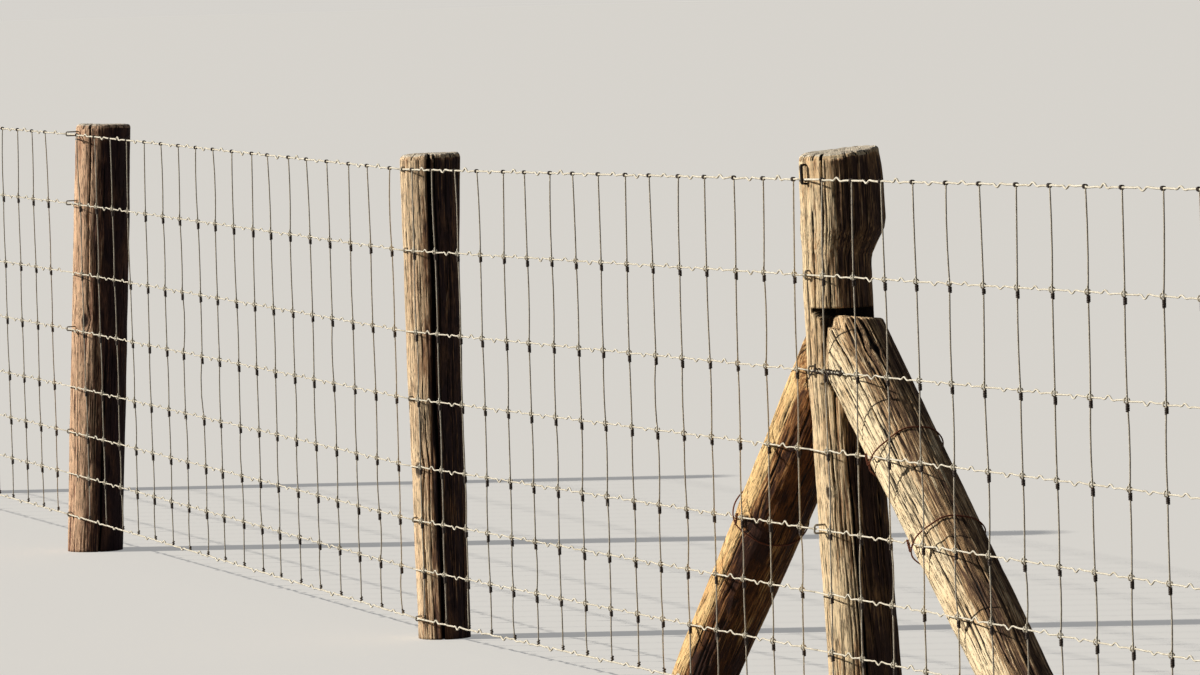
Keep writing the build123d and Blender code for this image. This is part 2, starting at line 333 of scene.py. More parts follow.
def spokes(angle, first, second):
    """Directions at these angles, from the first one towards the second."""
    return np.cos(angle)[:, None] * first + np.sin(angle)[:, None] * second


painted_light_tone = 0.85  # painted light, added on the side of a log that the sun falls on
painted_shade_tone = 1.3  # painted shade, taken off on the side of a log away from the sun
tone_limits = (-1.6, 1)
knot_stretch = 1.6  # a knot's length over its width
reaches_end = 70  # a check that comes this close to an end runs out through it
run_out = 500


def log_relief(log, theta, place):
    """Cracks, knots, fibres and waves over the side of a log.

    Gives the depth inwards, crack (1 at the bottom of one), tone (-1 dark, 1 pale: random tone and wear,
    with painted light on the sunlit side and painted shade on the shaded side), knot and the angle round the
    log, bent with the grain.
    """
    rng = np.random.default_rng(log.seed)
    mean_radius = np.mean(log.radius(place))
    turn = 2 * pi * mean_radius
    round_it = theta / (2 * pi)

    def noise(length, cells):
        """Random values in cells of that length, so many to a turn."""
        return smooth_noise(rng, place / length, round_it * int(cells))

    across = theta * mean_radius + 5 * noise(260, 4)
    across = across + 1.2 * noise(55, 16)
    knot_mask = np.zeros_like(place)
    for knot in log.knots:
        y = wrapped(across - radians(knot.angle) * mean_radius, turn)
        x = (place - knot.place) / knot_stretch
        far = np.sqrt(x * x + y * y)
        push = np.where(far > knot.radius, (knot.radius / np.maximum(far, 1)) ** 2, 0.85)
        fade = clamp(2 - far / (5 * knot.radius))
        across = across - y * push * fade
        inside = clamp((knot.radius * 1.15 - far) / (0.5 * knot.radius))
        knot_mask = np.maximum(knot_mask, inside)

    wave = noise(170, 5) + 0.6 * noise(60, 9)
    fibre = noise(95, log.columns / 5)
    fine = noise(40, log.columns / 2.5)
    streak = noise(130, log.columns / 2.7)
    band = noise(260, log.columns / 9)
    depth = 1.4 + 0.9 * wave + 0.8 * fibre + 0.45 * fine + 0.7 * streak
    tone = 0.4 * noise(130, 6) + 0.35 * band
    tone = tone - 0.3 * fibre - 0.5 * streak - 0.2 * fine
    # Painted light makes the side towards the sun paler, and painted shade makes the side away from it
    # darker.
    painted_light = clamp((np.cos(theta - radians(log.painted_light_angle)) - 0.4) / 0.25)
    painted_shade = clamp(np.cos(theta - radians(log.painted_shade_angle)) * 4 - 1.8)
    tone = tone + painted_light_tone * painted_light - painted_shade_tone * painted_shade + log.paleness
    crack = np.zeros_like(place)

    def open_crack(middle, half, deep, low, high, wander):
        """Cuts one crack, tapered towards its ends, into depth and crack."""
        share = (place - low) / (high - low)
        inside = (share > 0) & (share < 1)
        taper = np.where(inside, 4 * share * (1 - share), 0) ** 0.35
        shift = wander * np.sin(place / 47 + middle)
        away = np.abs(wrapped(across - middle - shift, turn))
        wedge = clamp(1 - away / np.maximum(half * taper, 0.01)) * inside
        np.maximum(depth, depth.clip(0) + deep * taper * wedge**0.8, out=depth, where=wedge > 0)
        np.maximum(crack, clamp(wedge * 1.6) * min(1, 0.35 + deep / 6), out=crack)
        rim = clamp(1 - np.abs(away - half * 1.7) / (half * 0.9)) * inside
        tone[:] = tone + 0.25 * rim * min(1, deep / 5)

    low_end, high_end = place.min(), place.max()
    for a, b, c, d, e, f in rng.uniform(0, 1, (log.cracks, 6)):
        length = 45 + 420 * b**2.2
        half = 0.75 + 1.35 * c**2
        deep = 0.8 + 3.2 * c * d
        middle_place = low_end + (high_end - low_end) * e
        open_crack(a * turn, half, deep, middle_place - length / 2, middle_place + length / 2, 1.6 * f)
    for check in log.checks:
        low = low_end - run_out if check.start <= low_end + reaches_end else check.start
        high = high_end + run_out if check.end >= high_end - reaches_end else check.end
        middle = radians(check.angle) * mean_radius
        open_crack(middle, check.mouth / 2, check.depth * 0.8, low, high, 0.8)

    depth = depth + 2.2 * knot_mask * (0.4 + 0.6 * noise(9, 40))
    crack = np.maximum(crack, 0.55 * knot_mask**2)
    return depth, crack, np.clip(tone, *tone_limits), knot_mask, across / mean_radius


def swollen(log, theta, place):
    """How far a log bulges past its round section."""
    bulge = 0
    for s in log.swellings:
        facing = np.cos(theta - radians(s.angle)).clip(0) ** 1.5
        bulge = bulge + np.interp(place, s.heights, s.amounts) * facing
    return bulge


@dataclass
class Cap:
    """One end of a log, as rings from its edge to its middle."""

    rings: int
    rough: float
    rim_height: float = 0
    rim_width: float = 0


post_foot = Cap(4, 1.0)
post_top = Cap(22, 2.2, rim_height, rim_width)
strut_head = Cap(14, 2.0, head_rim, head_rim)
strut_foot = Cap(4, 0.5)
post_turning = (0, 150)  # lengths at a log's ends over which its rows turn to the end's slant
strut_turning = (260, 260)
rim_turns = np.linspace(0.25, pi / 2, 6)  # round the worn rim, from the side to the flat
side_rings = 3  # of a post's rim that still show the side's grain
end_splits = 26
split_reach = 90  # a check that ends this close to a top shows there


def cap_rings(log, theta, edge, cap, at_end, rng):
    """Radius, place, crack and tone of each ring of an end."""
    rim = rim_turns if cap.rim_width else []
    shares = np.linspace(1, 0, cap.rings + 1)[1:-1]
    inner = edge - cap.rim_width
    rho = np.array([edge - cap.rim_width * (1 - cos(q)) for q in rim] + [inner * s for s in shares])
    drop = np.array([cap.rim_height * (1 - sin(q)) for q in rim] + [0] * len(shares))[:, None]
    theta = theta[None, :]
    round_it = theta / (2 * pi) + 0 * rho
    drop = drop * (1 + 0.35 * smooth_noise(rng, 0 * rho, round_it * 23))
    place = (log.end if at_end else log.start)(theta, rho)
    crack = np.zeros_like(rho)
    tone = 0.25 + 0.3 * smooth_noise(rng, rho / 9, round_it * 40)
    depth = cap.rough * (0.5 + 0.5 * smooth_noise(rng, rho / 7, round_it * 31))
    reaching = [c for c in log.checks if at_end and c.end > log.height - split_reach]
    splits = [(radians(c.angle), c.mouth, c.depth) for c in reaching]
    for _ in range(end_splits):
        splits.append((rng.uniform(0, 2 * pi), rng.uniform(1.5, 4), rng.uniform(20, 60)))
    for angle, mouth, reach in splits:
        share = clamp((rho - edge + reach) / reach)
        away = np.abs(wrapped(theta - angle - 0.05 * np.sin(rho / 6 + angle), 2 * pi)) * rho
        wedge = clamp(1 - away / np.maximum(mouth / 2 * share, 0.01))
        depth = np.maximum(depth, min(9, mouth * 1.6) * wedge * share)
        crack = np.maximum(crack, clamp(1.5 * wedge) * clamp(share * 3))
    inwards = -1 if at_end else 1
    return rho, place + inwards * (depth + drop), crack, np.clip(tone, -1, 1)


row_pair = 0.02  # from the middle of a close pair of rows to each of them
most_bulge = 1.2  # outwards, but for the face that the wires lie on
notch_painted_shade = 0.68  # painted shade: how dark the cut faces of a notch are painted, as a share of a crack
ground_tone = 0.55  # taken off towards the ground
ground_reach = 130
painted_top_light = 1.1  # painted light, added at a post's sunlit top
top_reach = 14
grain_scale = 0.01


def build_log(log, material, slot, turning, limit=None, keep=()):
    """One log as a grid closed by its two ends, with two close rows at each place in keep."""
    is_post = isinstance(log, Post)
    theta = np.arange(log.columns) * 2 * pi / log.columns
    rows = np.linspace(0.0, log.height, log.rows - 2 * len(keep))
    rows = np.sort([*rows, *(at + gap for at in keep for gap in (-row_pair, row_pair))])
    cap_start, cap_end = (post_foot, post_top) if is_post else (strut_head, strut_foot)
    first = log.start(theta, log.radius(rows[0])) + cap_start.rim_height
    last = log.end(theta, log.radius(rows[-1])) - cap_end.rim_height
    start_share = clamp(1 - rows / max(turning[0], 1))[:, None]
    end_share = clamp((rows - log.height + turning[1]) / max(turning[1], 1))[:, None]
    place = rows[:, None] + start_share * (first - rows[0]) + end_share * (last - rows[-1])

    depth, crack, tone, knot, grain_angle = log_relief(log, theta[None, :] + 0 * place, place)
    base = log.radius(place) + swollen(log, theta[None, :], place)
    front = clamp(-np.sin(theta) * 6 - 5)[None, :]
    rho = base - depth.clip(-most_bulge * (1 - front), None)
    if limit is not None:
        cut_to = limit(theta[None, :], place)
        # The notch's cut faces get painted shade through the crack mask.
        in_notch = clamp(rho - cut_to)
        rho = np.minimum(rho, cut_to - 0.25 * depth.clip(0, 4))
        crack = np.maximum(crack, notch_painted_shade * in_notch)

    rng = np.random.default_rng(log.seed + 1)
    top = cap_rings(log, theta, rho[-1], cap_end, True, rng)
    foot = cap_rings(log, theta, rho[0], cap_start, False, rng)
    foot_ends, top_ends = len(foot[0]), len(top[0])
    ends = ((foot_ends, top_ends), (0, 0))
    sawn = np.pad(0 * rho, ends, constant_values=1)
    knot = np.pad(knot, ends)
    grain_angle = np.pad(grain_angle, ends, mode="edge")
    parts = zip(foot, (rho, place, crack, tone), top)
    all_rho, all_place, crack, tone = (np.concatenate((low[::-1], side, high)) for low, side, high in parts)

    points = log.centre(all_place) + all_rho[..., None] * spokes(theta, log.across, backwards)[None, :, :]
    points[..., 2] = points[..., 2].clip(0)
    height = points[..., 2]
    tone = tone - ground_tone * clamp(1 - height / ground_reach)
    if is_post:
        sawn[-top_ends:side_rings - top_ends] = 0
        # Painted light on the top of a post.
        tone = tone + painted_top_light * clamp(1.3 - (log.height - height) / top_reach)
    grain = joined(all_rho * np.cos(grain_angle), all_rho * np.sin(grain_angle), all_place)
    middles = all_place[[0, -1]].mean(axis=1)
    flip = np.dot(np.cross(log.across, backwards), log.run) < 0
    mesh = grid_mesh(log.name, points, log.centre(middles), flip)
    # tone holds painted light and shade besides random tone and wear; crack holds painted shade on the notch
    # faces.
    values = {"crack": crack, "tone": np.clip(tone, *tone_limits), "sawn": sawn, "knot": knot}
    for name, value in values.items():
        put_attribute(mesh, name, np.concatenate((value.ravel(), value[[0, -1]].mean(axis=1))))
    grain = np.concatenate((grain.reshape(-1, 3), joined(0, 0, middles)))
    put_attribute(mesh, "grain", grain * grain_scale)
    put_log_uv(mesh, flip, foot_ends, top_ends, all_rho, theta, log.height)
    finish_piece(mesh, material, slot, log.name)


def grid_mesh(name, points, poles, flip):
    """A closed mesh from rows of points that go round, with one point at each end."""
    rows, columns = points.shape[:2]
    index = np.arange(rows * columns).reshape(rows, columns)
    right = np.roll(index, -1, axis=1)
    quads = joined(index[:-1], right[:-1], right[1:], index[1:]).reshape(-1, 4)
    low = joined(right[0], index[0], rows * columns)
    high = joined(index[-1], right[-1], rows * columns + 1)
    if flip:
        quads, low, high = quads[:, ::-1], low[:, ::-1], high[:, ::-1]
    coordinates = np.concatenate((points.reshape(-1, 3), poles))
    corners = np.concatenate((quads.ravel(), low.ravel(), high.ravel()))
    sizes = np.concatenate((np.full(len(quads), 4), np.full(2 * columns, 3)))
    return new_mesh(name, coordinates, corners, sizes)


def new_mesh(name, coordinates, corners, sizes):
    mesh = bpy.data.meshes.new(name)
    mesh.vertices.add(len(coordinates))
    mesh.loops.add(len(corners))
    mesh.polygons.add(len(sizes))
    fill(mesh.vertices, "co", coordinates * to_metres)
    fill(mesh.loops, "vertex_index", corners, np.int32)
    fill(mesh.polygons, "loop_start", np.cumsum(sizes) - sizes, np.int32)
    fill(mesh.polygons, "use_smooth", np.ones(len(sizes)), bool)
    mesh.update(calc_edges=True)
    return mesh


def fill(items, name, values, kind=np.float32):
    items.foreach_set(name, values.astype(kind).ravel())


def put_attribute(mesh, name, values):
    vector = values.ndim == 2
    data = mesh.attributes.new(name, "FLOAT_VECTOR" if vector else "FLOAT", "POINT").data
    fill(data, "vector" if vector else "value", values)


def put_uv(mesh, values):
    fill(mesh.uv_layers.new(name="OFBake").uv, "vector", values)


def put_log_uv(mesh, flip, foot_ends, top_ends, rho, theta, length):
    """Unrolls the side in two strips and lays the ends beside them as discs."""
    rows, columns = rho.shape
    turn = 2 * pi * rho.max()
    side_rows = rows - foot_ends - top_ends
    canvas = max(2 * turn, length / 2 + turn / pi) * 1.03
    i, j = np.mgrid[: rows - 1, :columns]
    corner_i = joined(i, i, i + 1, i + 1)
    corner_j = joined(j, j + 1, j + 1, j)
    local = clamp((corner_i - foot_ends) / max(side_rows - 1, 1)) * 2
    strip = ((i - foot_ends + 0.5) / (side_rows - 1) * 2 >= 1).astype(int)[..., None]
    u = corner_j * turn / columns + strip * turn * 1.01
    v = (local - strip) * length / 2
    flat_radius = rho * 0.95
    spread = flat_radius[corner_i, corner_j % columns]
    angle = theta[corner_j % columns]
    disc = turn / pi / 2
    foot_u, top_u, ends_v = disc, 4 * disc, length / 2 + disc * 1.02
    in_foot = corner_i[..., 2] <= foot_ends
    in_top = corner_i[..., 0] >= rows - top_ends - 1
    for middle_u, ends in ((foot_u, in_foot), (top_u, in_top)):
        u = np.where(ends[..., None], middle_u + spread * np.cos(angle), u)
        v = np.where(ends[..., None], ends_v + spread * np.sin(angle), v)
    faces = [joined(u, v).reshape(-1, 4, 2)]
    for row, middle_u in ((0, foot_u), (rows - 1, top_u)):
        hub = np.tile((middle_u, ends_v), (columns, 1))
        now = hub + flat_radius[row][:, None] * joined(np.cos(theta), np.sin(theta))
        then = np.roll(now, -1, axis=0)
        faces.append(np.stack((then, now, hub) if row == 0 else (now, then, hub), axis=1))
    flat = [(face[:, ::-1] if flip else face).reshape(-1, 2) for face in faces]
    put_uv(mesh, np.concatenate(flat) / canvas)


def new_object(name, data):
    made = bpy.data.objects.new(name, data)
    scene.collection.objects.link(made)
    return made


def finish_piece(mesh, material, slot, *nodes):
    """Puts the mesh in the scene as a piece that stands for these nodes."""
    mesh.materials.append(material)
    piece = new_object(nodes[0] + "_weathered", mesh)
    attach(piece, "root")
    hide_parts(*nodes)


class Wires:
    """Round wires joined into one mesh."""

    row_length = 950  # of wire in one row of the unrolled picture
    row_spare = 250  # for a step that runs past a row's end
    row_share = 0.9  # of a row's height that a wire takes
    picture_rows = 64
    end_spot = 0.0005  # radius of a wire's end there

    def __init__(self):
        self.points, self.corners, self.sizes, self.rust, self.uv = [], [], [], [], []
        self.count = 0
        self.used = 0.0

    def add(self, path, radius, beside, sides=6, rust=0.0, closed=False):
        """A wire along path. beside is a direction never along the path."""
        path = np.asarray(path, float)
        tangent = np.roll(path, -1, 0) - np.roll(path, 1, 0) if closed else np.gradient(path, axis=0)
        tangent = unit(tangent)
        across = unit(np.cross(tangent, beside))
        other = np.cross(across, tangent)
        turn = np.arange(sides) * 2 * pi / sides
        ring = spokes(turn, across[:, None], other[:, None])
        radii = np.broadcast_to(radius, len(path))[:, None, None]
        count = len(path)
        self.points.append((path[:, None] + radii * ring).reshape(-1, 3))
        self.rust.append(np.repeat(np.broadcast_to(rust, count), sides))
        index = np.arange(count * sides).reshape(count, sides) + self.count
        if closed:
            index = np.concatenate((index, index[:1]))
        right = np.roll(index, -1, axis=1)
        quads = joined(index[:-1], index[1:], right[1:], right[:-1]).reshape(-1, 4)
        self.corners.append(quads.ravel())
        self.sizes.append(np.full(len(quads), 4))
        whole = np.concatenate((path, path[:1])) if closed else path
        steps = np.linalg.norm(np.diff(whole, axis=0), axis=1)
        length = self.used + np.array([0, *np.cumsum(steps)])
        self.used = length[-1]
        row = np.floor(length[:-1] / self.row_length)
        lower = np.arange(sides)[None, :] / sides * self.row_share + 0.05
        upper = lower + self.row_share / sides
        low, high = length[:-1] - row * self.row_length, length[1:] - row * self.row_length
        corner_u = joined(low, high, high, low)[:, None, :] / (self.row_length + self.row_spare)
        corner_v = joined(lower, lower, upper, upper) + row[:, None, None]
        self.uv.append(joined(corner_u, corner_v / self.picture_rows).reshape(-1, 2))
        if not closed:
            for ring_index in (index[0], index[-1][::-1]):
                self.corners.append(ring_index)
                self.sizes.append(np.array([sides]))
                v = (row[0] + 0.5) / self.picture_rows
                self.uv.append(joined(self.end_spot * np.cos(turn), v + self.end_spot * np.sin(turn)))
        self.count += count * sides

    def piece(self, material, slot, *nodes):
        parts = (np.concatenate(part) for part in (self.points, self.corners, self.sizes))
        mesh = new_mesh(nodes[0], *parts)
        put_attribute(mesh, "rust", np.concatenate(self.rust))
        put_uv(mesh, np.concatenate(self.uv))
        finish_piece(mesh, material, slot, *nodes)


def between(start, end, x):
    """Height at x on the line from one x and z to another."""
    return start[1] + (end[1] - start[1]) * (x - start[0]) / (end[0] - start[0])


def line_ends(left, right, number):
    start, end = left.wire(number), right.wire(number)
    if left is posts[0]:
        x = start[0] - netting_tail
        start = (x, between(start, end, x))
    if right is posts[-1]:
        x = end[0] + netting_tail
        end = (x, between(start, end, x))
    return start, end


crimp_height = 5.4
# Each as x and a share of the height
crimp_shape = ((-38, 0), (-27, 0.04), (-20, -0.2), (-13, -0.05), (-4, 0.9), (0, 1))
crimp_shape += ((4, 0.82), (13, -0.22), (20, -0.38), (29, -0.15), (42, 0))
crimp_room = 115  # least width between two stays for a crimp
jog_reach = 9  # of the small bend of a line wire at a stay
stay_drift = 3.2  # from the pitch, of a stay as a whole
stay_scatter = 2.0  # of each joint of it
top_scatter = 6.0  # of its loop on the top wire
wrap_length = 12  # of the coil under a line wire
wrap_pitch = 2.9
hinge_radius = 4.6
coil_steps = 8  # of a coil's turn
tie_wire = 3.0
spliced_line = 3
splice_run = (18, 150)  # along the fence
splice_pitch = 15


def coil(middle, axis, first, radius, turns, length, phase):
    """A helix of that length and number of turns about axis, from middle onwards."""
    share = np.linspace(0, 1, int(coil_steps * turns) + 1)
    angle = phase + share * turns * 2 * pi
    second = np.cross(axis, first)
    return middle + share[:, None] * length * axis + radius * spokes(angle, first, second)


def netting(number, left, right, material):
    """One bay of hinge-joint netting: crimped line wires, stays and the wraps that join them."""
    rng = np.random.default_rng(100 + number)
    wires = Wires()
    lines = [line_ends(left, right, k + 1) for k in range(len(wire_drops))]
    low = max(start[0] for start, _ in lines) + stay_wire
    high = min(end[0] for _, end in lines) - stay_wire
    stays = np.arange(ceil((low - first_stay) / stay_pitch), ceil((high - first_stay) / stay_pitch))
    drift = rng.normal(0, stay_drift, len(stays))
    scatter = rng.normal(0, stay_scatter, (len(lines), len(stays)))
    at = first_stay + stay_pitch * stays + scatter + 0.6 * drift
    at[0] += rng.normal(0, top_scatter, len(stays))
    knots = np.zeros((len(lines), len(stays), 3))
    for k, (start, end) in enumerate(lines):
        knots[k] = joined(at[k], netting_y, between(start, end, at[k]))
        radius = (edge_wire if k in (0, len(lines) - 1) else line_wire) / 2
        ends = [start[0], *at[k], end[0]]
        xs, lift = [start[0]], [0.0]
        for j, (a, b) in enumerate(zip(ends, ends[1:])):
            if b - a > crimp_room:
                sign = 1 if (j + int(stays[0])) % 2 else -1
                height = crimp_height * rng.uniform(0.7, 1.15)
                middle, wide = (a + b) / 2 + rng.normal(0, 4), rng.uniform(0.85, 1.1)
                xs += [middle + dx * wide for dx, _ in crimp_shape]
                lift += [sign * dz * height for _, dz in crimp_shape]
            if b < ends[-1]:
                jog = rng.normal(0, 0.9)
                xs += [b - jog_reach, b + jog_reach]
                lift += [jog, -jog]
        xs, lift = np.array([*xs, ends[-1]]), np.array([*lift, 0.0])
        path = joined(xs, netting_y, between(start, end, xs) + lift)
        wires.add(path, radius, backwards, rust=0.12)
        for middle in knots[k]:
            add_knot(wires, middle, k, len(lines), rng)
    for j in range(len(stays)):
        for top, bottom in zip(knots[:, j], knots[1:, j]):
            bow = rng.normal(0, 2.2, 2) * (1, 0.5)
            shares = np.array((0, 0.12, 0.35, 0.65, 0.88, 1))[:, None]
            path = top + (bottom - top) * shares
            path[:, :2] += (4 * shares * (1 - shares)) * bow
            path[:, 1] -= 0.4
            wires.add(path, stay_wire / 2, backwards, rust=0.5)
    if left is strainer:
        splice(wires, lines[spliced_line - 1], *splice_run, rng)
    wires.piece(material, "netting_wire", f"netting_bay_{number}")


def add_knot(wires, middle, k, count, rng):
    """A hinge joint: a stay's end wound on the line wire, and the next stay's end wound under it."""
    radius = hinge_radius * rng.uniform(0.92, 1.1)
    way = -along_fence
    thin = stay_wire / 2
    if k == 0:
        loop = coil(middle - 1.5 * way, way, upwards, 3.4, 2.4, 9, rng.uniform(-0.3, 0.3))
        wires.add(loop, thin, along_fence, sides=5, rust=0.95)
    elif k < count - 1:
        loop = coil(middle + way, way, upwards, radius, 0.95, 6, rng.uniform(0.3, 0.7))
        wires.add(loop, thin, along_fence, sides=5)
        tip = [middle + (x, -2.4, z) for x, z in ((4, -2), (3, 4), (1.5, 8), (3, 10.5))]
        wires.add(tip, thin - 0.1, backwards, sides=5)
        length = wrap_length * rng.uniform(0.85, 1.25)
        turns = length / wrap_pitch
        wrap = coil(middle - 5 * upwards, -upwards, -backwards, 2.3, turns, length, rng.uniform(0, 6))
        wires.add(wrap, thin + 0.2, upwards, sides=5, rust=0.95)
    else:
        wrap = coil(middle + 2.5 * upwards, upwards, -backwards, 2.6, 1.8, 9, rng.uniform(0, 6))
        wires.add(wrap, thin, upwards, sides=5, rust=0.8)


def splice(wires, line, start, end, rng):
    """An old tie wire wound loosely on a line wire, with its ends left standing out."""
    turns = (end - start) / splice_pitch
    count = int(turns * 10)
    x = np.linspace(start, end, count)
    spin = np.linspace(0, turns * 2 * pi, count) + 0.8 * np.sin(x / 13)
    reach = 3.6 + 1.4 * np.sin(x / 17) ** 2
    z = between(*line, x) + reach * np.sin(spin)
    path = joined(x, netting_y + reach * np.cos(spin), z)
    wires.add(path, tie_wire / 2, along_fence, rust=1.0)
    ends = ((start, -1, -16), (start + 4, 1, 14), ((start + end) / 2, 1, -22), (end, 1, 12))
    for place, side, rise in ends:
        share = np.linspace(0, 1, 7)
        x = place + side * 16 * share + 2 * np.sin(share * 5)
        z = between(*line, x) + rise * share**1.5 + rng.normal(0, 0.8, 7)
        path = joined(x, netting_y - 4 - 3 * share, z)
        wires.add(path, tie_wire / 2, backwards, rust=1.0)


staple_wire = 4.0
staple_inside = 12
staple_leg = 40
staple_play = 0.3
staple_bend = 4
thin_staple = 3.2  # the line posts' staples look thinner and narrower
thin_staple_less = 3
tall_staple_more = 20  # height of the strainer post's topmost staple over the others
# The topmost staple's thick crown and rust-dark colour are partly a rusty staple, partly painted shade
# filling its shadowed loop.
tall_staple_shade_radius = 3.4


def staples(post, material):
    """The staples of one post, each a bent wire driven in over its line wire."""
    rng = np.random.default_rng(post.seed + 5)
    wires = Wires()
    thick = staple_wire if post is strainer else thin_staple
    half = (staple_inside + staple_wire) / 2 - (0 if post is strainer else thin_staple_less)
    crown_y = netting_y - line_wire / 2 - staple_play - thick / 2
    quarter = np.linspace(0, pi / 2, 5)
    for number in post.stapled:
        x, z = post.wire(number)
        x = x + post.radius(z) * sin(radians(dressed_turn))
        tall = post is strainer and number == 1
        above = half + (tall_staple_more if tall else 0)
        bend = [(-staple_leg, -half)]
        bend += [(-staple_bend * (1 - sin(q)), -half + staple_bend * (1 - cos(q))) for q in quarter]
        bend += [(-staple_bend * (1 - cos(q)), above - staple_bend * (1 - sin(q))) for q in quarter]
        bend += [(-staple_leg, above)]
        tilt = rng.normal(0, 0.12)
        path = [(x + up * sin(tilt), crown_y - depth, z + up * cos(tilt)) for depth, up in bend]
        radius = np.full(len(path), thick / 2)
        # Painted shade: the topmost staple is thick and rust-dark to fill the shadow in its loop.
        if tall:
            radius[3:-3] = tall_staple_shade_radius
        wires.add(path, radius, along_fence, sides=10, rust=1.0 if tall else 0.2)
    wires.piece(material, "staple_wire", post.name.replace("post", "staples"))


def tie_place(strut, number):
    """How far down a strut line wire number crosses its axis."""
    left, right = (strainer, right_end) if strut.side > 0 else (second, strainer)
    start, end = line_ends(left, right, number)
    slope = (end[1] - start[1]) / (end[0] - start[0])
    fall = tan(strut.slant) + strut.side * slope
    run = (strut.head_height - between(start, end, strut.notch_x)) / fall
    return run / cos(strut.slant)


tie_off = 1.6  # of the wire's middle from the log and the line wire
tie_steps = 72
tie_twist = 0.73  # where round the log the ends are twisted, as a share of a turn


def tie(strut, numbers, material):
    """Tie wires that bind line wires to a strut, with their twisted ends."""
    rng = np.random.default_rng(strut.seed + 9)
    wires = Wires()
    for number in numbers:
        t = tie_place(strut, number)
        middle, radius = strut.centre(t), strut.radius(t) + tie_off
        front = middle[1] - (netting_y - line_wire / 2 - tie_off)
        angle = np.arange(tie_steps) * 2 * pi / tie_steps
        reach = np.where(np.sin(angle) < 0, radius + (front - radius) * np.sin(angle) ** 6, radius)
        sway = 7 * np.sin(angle + rng.uniform(0, 6)) + 4 * np.sin(angle * 2 + rng.uniform(0, 6))
        sway = sway + 2 * np.sin(angle * 3) + 1.2 * np.sin(angle * 7 + 1)
        path = middle + reach[:, None] * spokes(angle, strut.across, backwards) + sway[:, None] * strut.run
        wires.add(path, tie_wire / 2, strut.run, sides=8, rust=1.0, closed=True)
        knot = path[int(tie_steps * tie_twist)] - 1.5 * backwards
        for phase in (0, pi):
            twist = coil(knot, strut.across * 0.35 - strut.run * 0.9, -backwards, 1.5, 2.6, 26, phase)
            wires.add(twist, 1.4, strut.run + 0.2 * upwards, rust=1.0)
    wires.piece(material, "tie_wire", strut.name + "_ties")


class Nodes:
    """A node tree, made and joined in short calls."""

    def __init__(self, tree):
        self.tree = tree
        tree.nodes.clear()

    def add(self, kind, output=0, settings=(), **inputs):
        """One output of a new node. Its inputs go by name, or by number as i0 and i1."""
        node = self.tree.nodes.new("ShaderNode" + kind)
        for name, value in dict(settings).items():
            setattr(node, name, value)
        for name, value in inputs.items():
            key = int(name[1:]) if name[0] == "i" and name[1:].isdigit() else name.replace("_", " ")
            if isinstance(value, bpy.types.NodeSocket):
                self.tree.links.new(value, node.inputs[key])
            else:
                node.inputs[key].default_value = value
        return node.outputs[output]

    def end(self, kind, surface):
        output = self.tree.nodes.new("ShaderNodeOutput" + kind)
        self.tree.links.new(surface, output.inputs["Surface"])


class Shader(Nodes):
    """The nodes of a material."""

    def __init__(self, name):
        self.material = bpy.data.materials.new(name)
        self.material.use_nodes = True
        super().__init__(self.material.node_tree)

    def attribute(self, name, output="Fac"):
        return self.add("Attribute", output, {"attribute_name": name})

    def noise(self, vector, scale, detail=4.0, roughness=0.6):
        return self.add("TexNoise", "Fac", Vector=vector, Scale=scale, Detail=detail, Roughness=roughness)

    def stretched(self, vector, scale):
        return self.add("Mapping", "Vector", Vector=vector, Scale=scale)

    def spread(self, value, low, high, to_low=0.0, to_high=1.0):
        return self.add("MapRange", "Result", i0=value, i1=low, i2=high, i3=to_low, i4=to_high)

    def maths(self, operation, a, b=0.0):
        return self.add("Math", 0, {"operation": operation}, i0=a, i1=b)

    def times(self, a, b):
        return self.maths("MULTIPLY", a, b)

    def mix(self, share, a, b):
        return self.add("Mix", 2, {"data_type": "RGBA"}, i0=share, i6=a, i7=b)

    def finish(self, **inputs):
        inputs.setdefault("Specular_IOR_Level", 0.15)
        self.end("Material", self.add("BsdfPrincipled", "BSDF", **inputs))
        return self.material


def screen(*colours):
    """Colours written as on screen, from 0 to 255."""

    def linear(c):
        return ((c / 255 + 0.055) / 1.055) ** 2.4 if c > 10 else c / 255 / 12.92

    return [(*map(linear, colour), 1.0) for colour in colours]


ring_count = 150.0  # of growth rings, as radians for each 100 mm from the pith
fresh_end = (0.96, 0.9, 0.76, 1.0)


